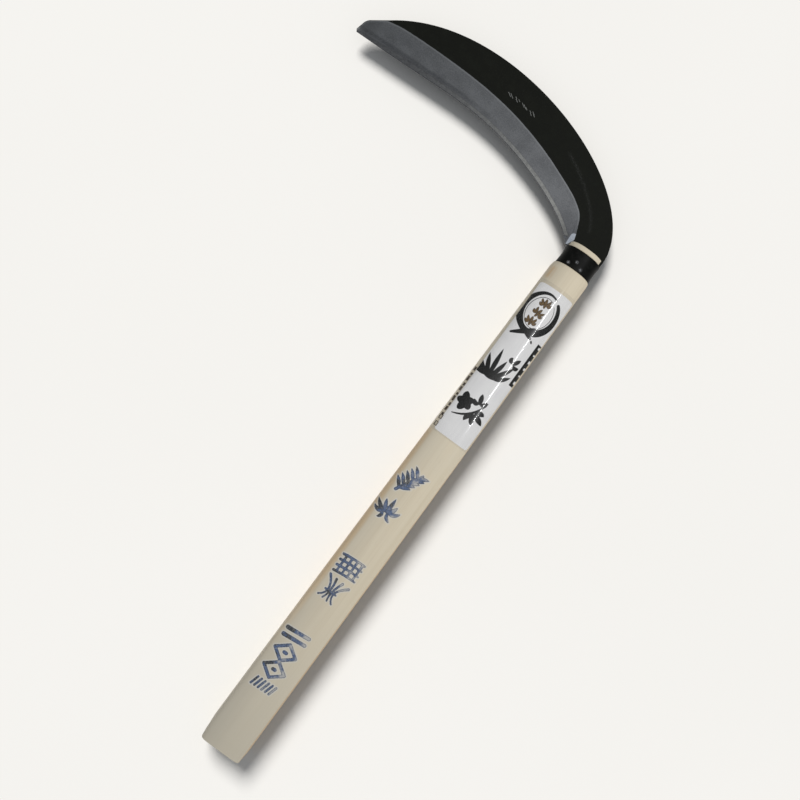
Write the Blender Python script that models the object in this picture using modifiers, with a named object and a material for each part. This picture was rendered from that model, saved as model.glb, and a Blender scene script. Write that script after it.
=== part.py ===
"""Hand sickle with a thin, single-bevel blade in a straight wooden handle.

Row frame, in metres: the origin is the centre of the handle's butt face, +Y runs along the handle
towards its head, the blade reaches out towards -X, and +Z is the side that carries the bevel.
The middle plane of the tang, and of the slot that holds it, is z = 0.
"""

import math

import bmesh
import bpy

MM = 0.001
CLEARANCE = 0.3 * MM  # between pieces that touch

# Handle: a rounded bar that narrows and grows rounder towards its head
HANDLE_LENGTH = 364.7 * MM
BUTT_HALF_WIDTH = 14.2 * MM
HEAD_HALF_WIDTH = 12.65 * MM
LEAN = 0.85 * MM  # how far the centre line stands over to +X at the shoulder
HANDLE_HALF_DEPTH = 11.0 * MM
TAPER_POWER = 1.4
BUTT_SQUARENESS = 8.0  # a superellipse's exponent: 2 is an ellipse, and more is boxier
HEAD_SQUARENESS = 2.4
BUTT_EASING_LENGTH = 10.0 * MM  # where the butt's sides are sanded in
BUTT_EASING_DEPTH = 0.6 * MM
SHOULDER_START = 345.6 * MM
SHOULDER_END = 349.5 * MM
HANDLE_STATIONS = 30
HANDLE_CROWDING = 1.3  # the power that sets the stations closer together near the butt
SHOULDER_STATIONS = 5
SECTION_SIDES = 40

# Ferrule: a thin steel sleeve round the seat turned on the handle's head
FERRULE_START = SHOULDER_END + CLEARANCE
FERRULE_END = 361.4 * MM
FERRULE_CENTRE_X = 1.1 * MM
FERRULE_FOOT_HALF_WIDTH = 11.9 * MM
FERRULE_HEAD_HALF_WIDTH = 11.9 * MM
FERRULE_WAIST = 0.35 * MM
FERRULE_STATIONS = 6
FERRULE_HALF_DEPTH = 10.4 * MM
FERRULE_THICKNESS = 0.8 * MM
FERRULE_SQUARENESS = 2.3
CRIMPS = ((-4.7 * MM, 351.7 * MM), (-0.5 * MM, 354.3 * MM), (3.6 * MM, 351.7 * MM))
CRIMP_RADIUS = 1.4 * MM
CRIMP_DEPTH = 0.35 * MM

# Blade outline: control points of Bezier curves, in millimetres. The spine is four curves joined
# end to end: the clipped tip, its corner, a short straight and the long back.
TIP = (-189.0, 390.3)
SPINE = (
    (TIP, (-187.5, 396.8)),
    ((-187.5, 396.8), (-186.9, 399.4), (-184.8, 400.8)),
    ((-184.8, 400.8), (-175.5, 407.5)),
    ((-175.5, 407.5), (-112.0, 457.3), (18.0, 412.6), (12.6, 361.8)),
)
CUTTING_EDGE = ((TIP, (-93.5, 392.8), (-114.0, 399.5), (-28.5, 384.8), (-12.6, 361.8)),)
OUTLINE_STEPS = 1000
TIP_START = 0.006  # where the loft starts, as a share of the blade's length
BLADE_STATIONS = 56
BLADE_CROWDING = 1.2  # the power that sets the stations closer together near the tip
HEEL_SHARES = (0.972, 0.981, 0.990, 1.0)

# Blade section
TIP_THICKNESS = 0.9 * MM
HEEL_THICKNESS = 2.2 * MM
THICKENING = 1.5  # the power at which the blade thickens along its length
BLADE_BACK = -HEEL_THICKNESS / 2  # the blade's flat back is one plane, from the tip to the tang
EDGE_THICKNESS = 0.08 * MM
HEEL_EDGE_THICKNESS = 1.2 * MM
SPINE_CHAMFER = 0.2 * MM
SPINE_CHAMFER_SHARE = 0.1  # the most of the blade's width that the chamfer takes near the tip
BEVEL_STOP = 1.5  # the bevel stops this many chamfers short of the spine
# The ground bevel, as pairs of share of the blade's length and width: it leaves the spine near the
# tip, runs nearly parallel to the edge, and curls in at the heel.
BEVEL_WIDTHS = (
    (0.00, 15.8 * MM),
    (0.08, 15.8 * MM),
    (0.13, 17.1 * MM),
    (0.20, 17.4 * MM),
    (0.32, 17.0 * MM),
    (0.50, 16.3 * MM),
    (0.75, 16.0 * MM),
    (0.87, 16.1 * MM),
    (0.94, 9.9 * MM),
    (1.00, 4.0 * MM),
)
# The hard steel that shows along the cutting edge, as the same kind of pairs
STEEL_WIDTHS = ((0.00, 1.5 * MM), (0.18, 3.0 * MM), (0.45, 2.5 * MM), (0.97, 3.0 * MM))
STEEL_SHARE = 0.25  # the most of the blade's width that the steel takes near the tip
STEEL_SCARF = 0.5 * MM  # how far the welded joint slopes in under the blade body
STEEL_SCARF_SHARE = 0.25  # the most of the blade's width that the joint takes near the tip
STEEL_END = 0.970  # share of the blade's length
HEEL_GAP = 0.002  # the share of the blade's length between the steel's end and the blade body
WELD_GAP = 0.12 * MM

# Tang: its shoulders stand on the ferrule, and its hooked end drops into a hole in the handle
TANG_TOP = FERRULE_END + CLEARANCE
TANG_SIDES_AT_TOP = (-8.6 * MM, 6.6 * MM)
TANG_SIDES_AT_HOOK = (-3.6 * MM, 4.4 * MM)
HOOK_START = 309.6 * MM
HOOK_RADIUS = 2.6 * MM
HOOK_DROP = 4.6 * MM
HOOK_STEPS = 6

# Slot and holes in the handle
SLOT_HALF_HEIGHT = HEEL_THICKNESS / 2 + CLEARANCE
SLOT_CLOSED_SIDE = 7.0 * MM
SLOT_END = 304.6 * MM
LIP_RIGHT_END = 10.8 * MM  # the lip stops short here, and the blade's neck shows beside it
HOOK_HOLE_RADIUS = 5.2 * MM
HOOK_HOLE_FLOOR = -8.0 * MM
NAIL_Y = 329.6 * MM
NAIL_RADIUS = 1.4 * MM
NAIL_HEAD_RADIUS = 2.5 * MM
NAIL_HEAD_HEIGHT = 0.9 * MM
NAIL_TOP = 10.3 * MM
NAIL_SHOULDER = -6.0 * MM
NAIL_POINT = -8.0 * MM
NAIL_STEPS = 24

# Label: a printed panel on the handle's front, under a clear film that is wrapped all round
FILM_START = 225.9 * MM
FILM_END = 336.0 * MM
PANEL_START = 226.8 * MM
PANEL_END = 333.8 * MM
PANEL_SIDES = (-10.8 * MM, 12.4 * MM)
PANEL_LIFT = 0.08 * MM
PANEL_THICKNESS = 0.12 * MM
PANEL_STEPS = 18
FILM_LIFT = 0.30 * MM
FILM_THICKNESS = 0.10 * MM
LABEL_STATIONS = 12

OVERRUN = 1 * MM  # how far a bore's cutter runs past the piece that it cuts
TURN = 2 * math.pi


def clear_scene():
    for obj in list(bpy.data.objects):
        bpy.data.objects.remove(obj, do_unlink=True)


def new_collection(name):
    collection = bpy.data.collections.new(name)
    bpy.context.scene.collection.children.link(collection)
    return collection


def principled(name, color, roughness, metallic=0.0, alpha=1.0):
    material = bpy.data.materials.new(name)
    material.use_nodes = True
    shader = material.node_tree.nodes["Principled BSDF"]
    shader.inputs["Base Color"].default_value = (*color, 1.0)
    shader.inputs["Roughness"].default_value = roughness
    shader.inputs["Metallic"].default_value = metallic
    shader.inputs["Alpha"].default_value = alpha
    return material


def move_to(obj, collection):
    for old in list(obj.users_collection):
        old.objects.unlink(obj)
    collection.objects.link(obj)


def shade(mesh):
    mesh.shade_smooth()
    mesh.set_sharp_from_angle(angle=math.radians(30))


# Curves and tables


def bezier(controls, share):
    """The point at this share of a Bezier curve of any degree."""
    points = [tuple(point) for point in controls]
    while len(points) > 1:
        points = [
            tuple(a + (b - a) * share for a, b in zip(start, end))
            for start, end in zip(points, points[1:])
        ]
    return points[0]


def even_points(curves, count, samples=200):
    """Points a constant distance apart along curves joined end to end, converted to metres."""
    fine = []
    for controls in curves:
        fine += [bezier(controls, i / samples) for i in range(samples + 1)]
    lengths = [0.0]
    for start, end in zip(fine, fine[1:]):
        lengths.append(lengths[-1] + math.dist(start, end))
    points = []
    i = 0
    for step in range(count + 1):
        target = lengths[-1] * step / count
        while i < len(fine) - 2 and lengths[i + 1] < target:
            i += 1
        span = max(lengths[i + 1] - lengths[i], 1e-9)
        share = (target - lengths[i]) / span
        x, y = (a + (b - a) * share for a, b in zip(fine[i], fine[i + 1]))
        points.append((x * MM, y * MM))
    return points


def read_table(table, place):
    """A smooth value between a table's (place, value) pairs: Catmull-Rom slopes, held at the ends."""
    places = [pair[0] for pair in table]
    values = [pair[1] for pair in table]
    place = min(max(place, places[0]), places[-1])
    i = max(k for k in range(len(table) - 1) if places[k] <= place)

    def slope(k):
        low, high = max(k - 1, 0), min(k + 1, len(table) - 1)
        return (values[high] - values[low]) / (places[high] - places[low])

    span = places[i + 1] - places[i]
    t = (place - places[i]) / span
    start, end = values[i], values[i + 1]
    return (
        start * (1 + 2 * t) * (1 - t) ** 2
        + slope(i) * span * t * (1 - t) ** 2
        + end * t * t * (3 - 2 * t)
        + slope(i + 1) * span * t * t * (t - 1)
    )


def ease(share):
    share = min(max(share, 0.0), 1.0)
    return share * share * (3 - 2 * share)


def between(start, end, share):
    return start + (end - start) * share


# Meshes


def loft(name, rings, material, collection):
    """Skins rings that all have the same number of points, and caps the first and the last."""
    skin = bmesh.new()
    rows = [[skin.verts.new(point) for point in ring] for ring in rings]
    sides = len(rings[0])
    for lower, upper in zip(rows, rows[1:]):
        for i in range(sides):
            j = (i + 1) % sides
            skin.faces.new((lower[i], lower[j], upper[j], upper[i]))
    skin.faces.new(list(reversed(rows[0])))
    skin.faces.new(rows[-1])
    bmesh.ops.recalc_face_normals(skin, faces=skin.faces)
    mesh = bpy.data.meshes.new(name)
    skin.to_mesh(mesh)
    skin.free()
    shade(mesh)
    obj = bpy.data.objects.new(name, mesh)
    if material:
        mesh.materials.append(material)
    collection.objects.link(obj)
    return obj


def as_cutter(obj, collection):
    move_to(obj, collection)
    obj.hide_render = True
    obj.display_type = "WIRE"
    return obj


def box_cutter(name, low, high, collection):
    centre = [(a + b) / 2 for a, b in zip(low, high)]
    size = [b - a for a, b in zip(low, high)]
    bpy.ops.mesh.primitive_cube_add(size=1.0, location=centre, scale=size)
    box = bpy.context.object
    box.name = name
    return as_cutter(box, collection)


def drill(name, x, y, radius, bottom, top, collection):
    """A round cutter along Z."""
    bpy.ops.mesh.primitive_cylinder_add(
        vertices=NAIL_STEPS, radius=radius, depth=top - bottom, location=(x, y, (bottom + top) / 2)
    )
    hole = bpy.context.object
    hole.name = name
    return as_cutter(hole, collection)


def cut(obj, cutter):
    modifier = obj.modifiers.new("cut_" + cutter.name, "BOOLEAN")
    modifier.operation = "DIFFERENCE"
    modifier.object = cutter


# Handle sections


def oval(angle, half_width, half_depth, squareness):
    """A superellipse's point, as x and z."""
    power = 2 / squareness
    x = half_width * math.copysign(abs(math.cos(angle)) ** power, math.cos(angle))
    z = half_depth * math.copysign(abs(math.sin(angle)) ** power, math.sin(angle))
    return x, z


def oval_ring(y, half_width, half_depth, squareness, centre_x=0.0):
    ring = []
    for i in range(SECTION_SIDES):
        x, z = oval(TURN * i / SECTION_SIDES, half_width, half_depth, squareness)
        ring.append((centre_x + x, y, z))
    return ring


def handle_centre(y):
    """Where the handle's centre line stands at this place, up to the shoulder."""
    return LEAN * y / SHOULDER_START


def handle_size(y):
    """The bare handle's half width, half depth and squareness at this place, up to the shoulder."""
    share = y / SHOULDER_START
    half_width = between(BUTT_HALF_WIDTH, HEAD_HALF_WIDTH, share**TAPER_POWER)
    easing = BUTT_EASING_DEPTH * (1 - ease(y / BUTT_EASING_LENGTH))
    squareness = between(BUTT_SQUARENESS, HEAD_SQUARENESS, ease(share))
    return half_width - easing, HANDLE_HALF_DEPTH - easing / 2, squareness


def ferrule_places():
    steps = FERRULE_STATIONS - 1
    return [between(FERRULE_START, FERRULE_END, i / steps) for i in range(FERRULE_STATIONS)]


def ferrule_half_width(y):
    """The ferrule is drawn in a little at its middle, and runs straight on past its ends."""
    share = min(max((y - FERRULE_START) / (FERRULE_END - FERRULE_START), 0.0), 1.0)
    waist = FERRULE_WAIST * math.sin(share * TURN / 2)
    return between(FERRULE_FOOT_HALF_WIDTH, FERRULE_HEAD_HALF_WIDTH, share) - waist


def ferrule_ring(y, inset):
    size = (ferrule_half_width(y) - inset, FERRULE_HALF_DEPTH - inset, FERRULE_SQUARENESS)
    return oval_ring(y, *size, FERRULE_CENTRE_X)


def handle_rings():
    rings = []
    for i in range(HANDLE_STATIONS):
        y = SHOULDER_START * (i / (HANDLE_STATIONS - 1)) ** HANDLE_CROWDING
        rings.append(oval_ring(y, *handle_size(y), handle_centre(y)))
    head = handle_size(SHOULDER_START)
    foot = (FERRULE_FOOT_HALF_WIDTH, FERRULE_HALF_DEPTH, FERRULE_SQUARENESS)
    for i in range(1, SHOULDER_STATIONS + 1):
        share = i / SHOULDER_STATIONS
        rounding = 1 - math.sqrt(1 - share * share)
        sizes = [between(a, b, rounding) for a, b in zip(head, foot)]
        y = between(SHOULDER_START, SHOULDER_END, share)
        rings.append(oval_ring(y, *sizes, between(LEAN, FERRULE_CENTRE_X, rounding)))
    lip_start = FERRULE_END + CLEARANCE
    lip_inset = FERRULE_THICKNESS - CLEARANCE / 2
    seat_places = [SHOULDER_END, *ferrule_places(), lip_start]
    rings += [ferrule_ring(y, FERRULE_THICKNESS + CLEARANCE) for y in seat_places]
    rings += [ferrule_ring(y, lip_inset) for y in (lip_start, HANDLE_LENGTH - CLEARANCE)]
    rings.append(ferrule_ring(HANDLE_LENGTH, lip_inset + CLEARANCE))
    return rings


def make_handle(parts, cutters):
    wood = principled("wood", (0.62, 0.54, 0.40), 0.6)
    handle = loft("handle", handle_rings(), wood, parts)
    reach = 2 * BUTT_HALF_WIDTH
    slot = box_cutter(
        "slot_cutter",
        (-reach, SLOT_END, -SLOT_HALF_HEIGHT),
        (SLOT_CLOSED_SIDE, HANDLE_LENGTH + reach, SLOT_HALF_HEIGHT),
        cutters,
    )
    mouth = box_cutter(
        "slot_mouth_cutter",
        (-reach, FERRULE_END, -SLOT_HALF_HEIGHT),
        (reach, HANDLE_LENGTH + reach, SLOT_HALF_HEIGHT),
        cutters,
    )
    lip_side = box_cutter(
        "lip_side_cutter",
        (LIP_RIGHT_END, FERRULE_END, -reach),
        (reach, HANDLE_LENGTH + reach, reach),
        cutters,
    )
    hook_x = sum(TANG_SIDES_AT_HOOK) / 2
    hook_y = HOOK_START - HOOK_RADIUS
    hook_hole = drill(
        "hook_hole_cutter", hook_x, hook_y, HOOK_HOLE_RADIUS, HOOK_HOLE_FLOOR, 0.0, cutters
    )
    nail_floor = NAIL_POINT - CLEARANCE
    nail_hole = drill(
        "nail_hole_cutter", 0.0, NAIL_Y, NAIL_RADIUS + CLEARANCE, nail_floor, reach, cutters
    )
    head_floor = NAIL_TOP - NAIL_HEAD_HEIGHT - CLEARANCE
    recess_radius = NAIL_HEAD_RADIUS + CLEARANCE
    recess = drill("nail_recess_cutter", 0.0, NAIL_Y, recess_radius, head_floor, reach, cutters)
    for cutter in (slot, mouth, lip_side, hook_hole, nail_hole, recess):
        cut(handle, cutter)


# Ferrule


def front_height(x, half_width, half_depth, squareness):
    """How high a section's front stands at this distance from its centre."""
    return half_depth * (1 - abs(x / half_width) ** squareness) ** (1 / squareness)


def make_ferrule(parts, cutters):
    black_steel = principled("black_steel", (0.02, 0.02, 0.018), 0.25, metallic=0.6)
    rings = [ferrule_ring(y, 0.0) for y in ferrule_places()]
    ferrule = loft("ferrule", rings, black_steel, parts)
    bore_places = [FERRULE_START - OVERRUN, *ferrule_places(), FERRULE_END + OVERRUN]
    bore_rings = [ferrule_ring(y, FERRULE_THICKNESS) for y in bore_places]
    bore = loft("ferrule_bore_cutter", bore_rings, None, cutters)
    cut(ferrule, as_cutter(bore, cutters))
    for number, (x, y) in enumerate(CRIMPS, 1):
        surface = front_height(
            x - FERRULE_CENTRE_X, ferrule_half_width(y), FERRULE_HALF_DEPTH, FERRULE_SQUARENESS
        )
        centre = (x, y, surface + CRIMP_RADIUS - CRIMP_DEPTH)
        bpy.ops.mesh.primitive_uv_sphere_add(
            segments=16, ring_count=8, radius=CRIMP_RADIUS, location=centre
        )
        punch = bpy.context.object
        punch.name = f"crimp_cutter_{number}"
        cut(ferrule, as_cutter(punch, cutters))


# Blade


def place(edge_point, across, width, height):
    """A point of the blade, from its distance from the cutting edge and its height."""
    return (edge_point[0] + across[0] * width, edge_point[1] + across[1] * width, height)


class BladeStation:
    """The blade's section at one share of its length."""

    def __init__(self, share, spine, edge):
        self.edge = edge
        self.width = math.dist(spine, edge)
        self.across = [(a - b) / self.width for a, b in zip(spine, edge)]
        thickness = between(TIP_THICKNESS, HEEL_THICKNESS, share**THICKENING)
        self.front = BLADE_BACK + thickness
        self.chamfer = min(SPINE_CHAMFER, SPINE_CHAMFER_SHARE * self.width)
        widest = self.width - BEVEL_STOP * self.chamfer
        self.bevel = min(read_table(BEVEL_WIDTHS, share), widest)
        self.steel = min(read_table(STEEL_WIDTHS, share), STEEL_SHARE * self.width)
        self.scarf = min(STEEL_SCARF, STEEL_SCARF_SHARE * self.width)
        blunting = ease((share - STEEL_END) / (1 - STEEL_END))
        self.edge_thickness = between(EDGE_THICKNESS, HEEL_EDGE_THICKNESS, blunting)

    def bevel_height(self, width):
        edge_front = BLADE_BACK + self.edge_thickness
        return between(edge_front, self.front, width / self.bevel)

    def ring(self, profile):
        return [place(self.edge, self.across, width, height) for width, height in profile]

    def body_ring(self, steel_shows):
        back = self.steel + WELD_GAP if steel_shows else 0.0
        foot = back + self.scarf if steel_shows else 0.0
        return self.ring(
            (
                (foot, BLADE_BACK),
                (self.width - self.chamfer, BLADE_BACK),
                (self.width, BLADE_BACK + self.chamfer),
                (self.width, self.front - self.chamfer),
                (self.width - self.chamfer, self.front),
                (self.bevel, self.front),
                (back, self.bevel_height(back)),
            )
        )

    def steel_ring(self):
        return self.ring(
            (
                (0.0, BLADE_BACK),
                (self.steel + self.scarf, BLADE_BACK),
                (self.steel, self.bevel_height(self.steel)),
                (0.0, BLADE_BACK + EDGE_THICKNESS),
            )
        )


def blade_stations(shares):
    spine = even_points(SPINE, OUTLINE_STEPS)
    edge = even_points(CUTTING_EDGE, OUTLINE_STEPS)
    numbers = [round(share * OUTLINE_STEPS) for share in shares]
    return [BladeStation(share, spine[i], edge[i]) for share, i in zip(shares, numbers)]


def tang_ring(sides, y, z, tilt):
    """A section of the tang, whose thickness direction leans over by tilt from +Z towards -Y."""
    half = HEEL_THICKNESS / 2
    left, right = sides
    chamfer = SPINE_CHAMFER
    profile = (
        (left, -half),
        (right - chamfer, -half),
        (right, -half + chamfer),
        (right, half - chamfer),
        (right - chamfer, half),
        (left + chamfer, half),
        (left, half - chamfer),
    )
    sine, cosine = math.sin(tilt), math.cos(tilt)
    return [(x, y - height * sine, z + height * cosine) for x, height in profile]


def tang_rings():
    rings = [tang_ring(TANG_SIDES_AT_TOP, TANG_TOP, 0.0, 0.0)]
    for step in range(HOOK_STEPS + 1):
        tilt = math.radians(90) * step / HOOK_STEPS
        y = HOOK_START - HOOK_RADIUS * math.sin(tilt)
        z = HOOK_RADIUS * (math.cos(tilt) - 1)
        rings.append(tang_ring(TANG_SIDES_AT_HOOK, y, z, tilt))
    end_y = HOOK_START - HOOK_RADIUS
    rings.append(tang_ring(TANG_SIDES_AT_HOOK, end_y, -HOOK_RADIUS - HOOK_DROP, math.radians(90)))
    return rings


def make_blade(parts, cutters):
    iron = principled("blade_iron", (0.06, 0.06, 0.055), 0.45, metallic=0.8)
    steel = principled("edge_steel", (0.45, 0.46, 0.48), 0.3, metallic=1.0)
    along_steel = [
        between(TIP_START, STEEL_END, (i / BLADE_STATIONS) ** BLADE_CROWDING)
        for i in range(BLADE_STATIONS + 1)
    ]
    stations = blade_stations(along_steel)
    rings = [station.body_ring(True) for station in stations]
    rings += [station.body_ring(False) for station in blade_stations(HEEL_SHARES)]
    blade = loft("blade_body", rings + tang_rings(), iron, parts)
    nail_hole = drill(
        "tang_nail_hole_cutter",
        0.0,
        NAIL_Y,
        NAIL_RADIUS + CLEARANCE,
        -HEEL_THICKNESS,
        HEEL_THICKNESS,
        cutters,
    )
    cut(blade, nail_hole)
    along_steel[-1] = STEEL_END - HEEL_GAP
    loft("edge_steel", [s.steel_ring() for s in blade_stations(along_steel)], steel, parts)


# Nail


def make_nail(parts):
    steel = principled("nail_steel", (0.35, 0.35, 0.36), 0.4, metallic=1.0)
    neck = NAIL_TOP - NAIL_HEAD_HEIGHT
    profile = (
        (0.0, NAIL_TOP),
        (NAIL_HEAD_RADIUS, NAIL_TOP),
        (NAIL_HEAD_RADIUS, neck),
        (NAIL_RADIUS, neck),
        (NAIL_RADIUS, NAIL_SHOULDER),
        (0.0, NAIL_POINT),
    )
    mesh = bpy.data.meshes.new("tang_nail")
    mesh.from_pydata(
        [(radius, 0.0, height) for radius, height in profile],
        [(i, i + 1) for i in range(len(profile) - 1)],
        [],
    )
    mesh.materials.append(steel)
    nail = bpy.data.objects.new("tang_nail", mesh)
    nail.location = (0.0, NAIL_Y, 0.0)
    parts.objects.link(nail)
    screw = nail.modifiers.new("turn", "SCREW")
    screw.axis = "Z"
    screw.steps = NAIL_STEPS
    screw.render_steps = NAIL_STEPS
    screw.use_merge_vertices = True
    screw.merge_threshold = 0.00001
    screw.use_smooth_shade = False


# Label


def label_places(start, end):
    return [between(start, end, i / LABEL_STATIONS) for i in range(LABEL_STATIONS + 1)]


def grown_size(y, growth):
    half_width, half_depth, squareness = handle_size(y)
    return half_width + growth, half_depth + growth, squareness


def panel_ring(y):
    """A thin strip of the section's front, between the panel's two sides."""
    centre_x = handle_centre(y)
    half_width, _, squareness = grown_size(y, PANEL_LIFT)
    places = [(x - centre_x) / half_width for x in reversed(PANEL_SIDES)]
    right, left = (math.acos(math.copysign(abs(x) ** (squareness / 2), x)) for x in places)
    angles = [between(right, left, i / PANEL_STEPS) for i in range(PANEL_STEPS + 1)]
    outer = [oval(angle, *grown_size(y, PANEL_LIFT + PANEL_THICKNESS)) for angle in angles]
    inner = [oval(angle, *grown_size(y, PANEL_LIFT)) for angle in reversed(angles)]
    return [(centre_x + x, y, z) for x, z in outer + inner]


def film_ring(y, growth):
    return oval_ring(y, *grown_size(y, growth), handle_centre(y))


def make_label(parts, cutters):
    paper = principled("label_paper", (0.75, 0.75, 0.74), 0.5)
    film = principled("label_film", (0.9, 0.9, 0.9), 0.05, alpha=0.25)
    loft("label_panel", [panel_ring(y) for y in label_places(PANEL_START, PANEL_END)], paper, parts)
    film_places = label_places(FILM_START, FILM_END)
    outer = [film_ring(y, FILM_LIFT + FILM_THICKNESS) for y in film_places]
    sleeve = loft("label_film", outer, film, parts)
    bore_places = [FILM_START - OVERRUN, *film_places[1:-1], FILM_END + OVERRUN]
    inner = [film_ring(y, FILM_LIFT) for y in bore_places]
    cut(sleeve, as_cutter(loft("film_bore_cutter", inner, None, cutters), cutters))


def main():
    clear_scene()
    parts = new_collection("hand_sickle")
    cutters = new_collection("cutters")
    make_handle(parts, cutters)
    make_ferrule(parts, cutters)
    make_blade(parts, cutters)
    make_nail(parts)
    make_label(parts, cutters)


main()
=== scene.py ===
"""Looks of the hand sickle: fine meshes, marks and materials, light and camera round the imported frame.

Row frame, in metres: the origin is the centre of the handle's butt face, +Y runs along the handle
towards its head, the blade reaches out towards -X, and +Z is the side that carries the bevel.
"""

import math

import bmesh
import bpy
import numpy as np
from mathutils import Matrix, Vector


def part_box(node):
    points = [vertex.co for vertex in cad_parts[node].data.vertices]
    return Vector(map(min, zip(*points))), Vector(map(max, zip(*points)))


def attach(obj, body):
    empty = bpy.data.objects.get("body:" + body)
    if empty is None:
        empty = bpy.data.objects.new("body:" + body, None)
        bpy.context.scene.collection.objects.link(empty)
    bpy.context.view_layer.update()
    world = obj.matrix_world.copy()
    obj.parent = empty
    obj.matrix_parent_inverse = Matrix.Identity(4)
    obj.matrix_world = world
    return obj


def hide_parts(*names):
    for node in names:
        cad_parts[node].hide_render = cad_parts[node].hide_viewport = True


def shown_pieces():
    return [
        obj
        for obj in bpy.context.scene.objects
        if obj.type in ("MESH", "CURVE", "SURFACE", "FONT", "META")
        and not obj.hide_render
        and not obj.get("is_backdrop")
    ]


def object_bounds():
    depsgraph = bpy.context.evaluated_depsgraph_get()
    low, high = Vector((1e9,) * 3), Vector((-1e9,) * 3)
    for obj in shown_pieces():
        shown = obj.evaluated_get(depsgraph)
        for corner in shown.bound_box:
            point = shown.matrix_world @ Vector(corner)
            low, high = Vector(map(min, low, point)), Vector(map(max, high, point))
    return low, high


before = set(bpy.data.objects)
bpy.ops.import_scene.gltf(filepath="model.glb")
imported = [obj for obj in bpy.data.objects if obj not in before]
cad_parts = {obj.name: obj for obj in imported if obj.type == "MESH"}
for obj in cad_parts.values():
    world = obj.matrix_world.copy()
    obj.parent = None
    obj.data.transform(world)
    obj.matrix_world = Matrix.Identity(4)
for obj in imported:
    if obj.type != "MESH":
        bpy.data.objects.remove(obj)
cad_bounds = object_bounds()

MM = 0.001
TURN = 2 * math.pi
BODY = "root"
CLEARANCE = 0.3 * MM
FAR = 20 * MM  # a distance that is outside every mark
MARK_REACH = 26.0  # in millimetres: a mark is looked for no further than this from its centre
SHARP_ANGLE = math.radians(35)
CURVE_POINTS = 1001  # in a fine curve, which is then divided evenly
QUARTER_POINTS = 400
STRIP_POINTS = 300
DRILL_SIDES = 48

# Handle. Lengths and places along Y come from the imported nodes, and the rest repeats the CAD.
HANDLE_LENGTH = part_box("handle")[1].y
BUTT_HALF_WIDTH = 14.2 * MM
HEAD_HALF_WIDTH = 12.65 * MM
LEAN = 0.85 * MM  # how far the centre line stands over to +X at the shoulder
HANDLE_HALF_DEPTH = 11.0 * MM
TAPER_POWER = 1.4
BUTT_SQUARENESS = 8.0  # a superellipse's exponent: 2 is an ellipse, and more is boxier
HEAD_SQUARENESS = 2.4
BUTT_EASING_LENGTH = 10.0 * MM
BUTT_EASING_DEPTH = 0.6 * MM
BUTT_ARRIS = 0.25 * MM
SHOULDER_START = 345.6 * MM
SHOULDER_END = 349.5 * MM
SHOULDER_STATIONS = 12
LIP_RIM = 0.5 * MM
FRONT_STEPS = 48  # in a quarter of the section
BACK_STEPS = 20
# Rows of the mesh: close together at the butt's arris and under the ink, as (end of stretch, rows)
HANDLE_ROWS = ((4 * BUTT_ARRIS, 5), (41 * MM, 30), (205 * MM, 370), (SHOULDER_START, 90))
PLAIN_ROWS = 12  # along the ferrule's seat, and along the inside of a thin wall
RIM_ROWS = 5  # round the lip's rim, and one less round a thin wall's
HEAD_STREAK = (-9.4 * MM, 336 * MM, 347 * MM)  # resin beside the head: its x and its two ends

# Slot and holes in the handle
SLOT_HALF_HEIGHT = 1.4 * MM
SLOT_CLOSED_SIDE = 7.0 * MM
SLOT_END = 304.6 * MM
LIP_RIGHT_END = 10.8 * MM  # the lip stops short here, and the blade's neck shows beside it
NAIL_HOLE = (0.0, 329.6 * MM, 1.7 * MM, -8.3 * MM)  # x, y, radius and floor
NAIL_RECESS = (0.0, 329.6 * MM, 2.8 * MM, 9.1 * MM)

# Ferrule
FERRULE_START, FERRULE_END = (corner.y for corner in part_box("ferrule"))
FERRULE_CENTRE_X = 1.1 * MM
FERRULE_HALF_WIDTH = 11.9 * MM
FERRULE_WAIST = 0.35 * MM
FERRULE_HALF_DEPTH = 10.4 * MM
FERRULE_THICKNESS = 0.8 * MM
FERRULE_SQUARENESS = 2.3
FERRULE_RIM = 0.3 * MM
FERRULE_ROWS = 40
CRIMPS = ((-4.7 * MM, 351.7 * MM), (-0.5 * MM, 354.3 * MM), (3.6 * MM, 351.7 * MM))
CRIMP_RADIUS = 1.4 * MM
CRIMP_DEPTH = 0.35 * MM

# Blade outline: control points of Bezier curves, in millimetres, as in the CAD
TIP = (-189.0, 390.3)
SPINE = (
    (TIP, (-187.5, 396.8)),
    ((-187.5, 396.8), (-186.9, 399.4), (-184.8, 400.8)),
    ((-184.8, 400.8), (-175.5, 407.5)),
    ((-175.5, 407.5), (-112.0, 457.3), (18.0, 412.6), (12.6, 361.8)),
)
CUTTING_EDGE = ((TIP, (-93.5, 392.8), (-114.0, 399.5), (-28.5, 384.8), (-12.6, 361.8)),)
TIP_START = 0.006  # where the blade's first section stands, as a share of its length

# Blade section, as in the CAD
TIP_THICKNESS = 0.9 * MM
HEEL_THICKNESS = 2.2 * MM
THICKENING = 1.5  # the power at which the blade thickens along its length
BLADE_BACK = -HEEL_THICKNESS / 2
EDGE_THICKNESS = 0.08 * MM
HEEL_EDGE_THICKNESS = 1.2 * MM
SPINE_CHAMFER = 0.2 * MM
SPINE_CHAMFER_SHARE = 0.1
BEVEL_STOP = 1.5  # the bevel stops this many chamfers short of the spine
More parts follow.
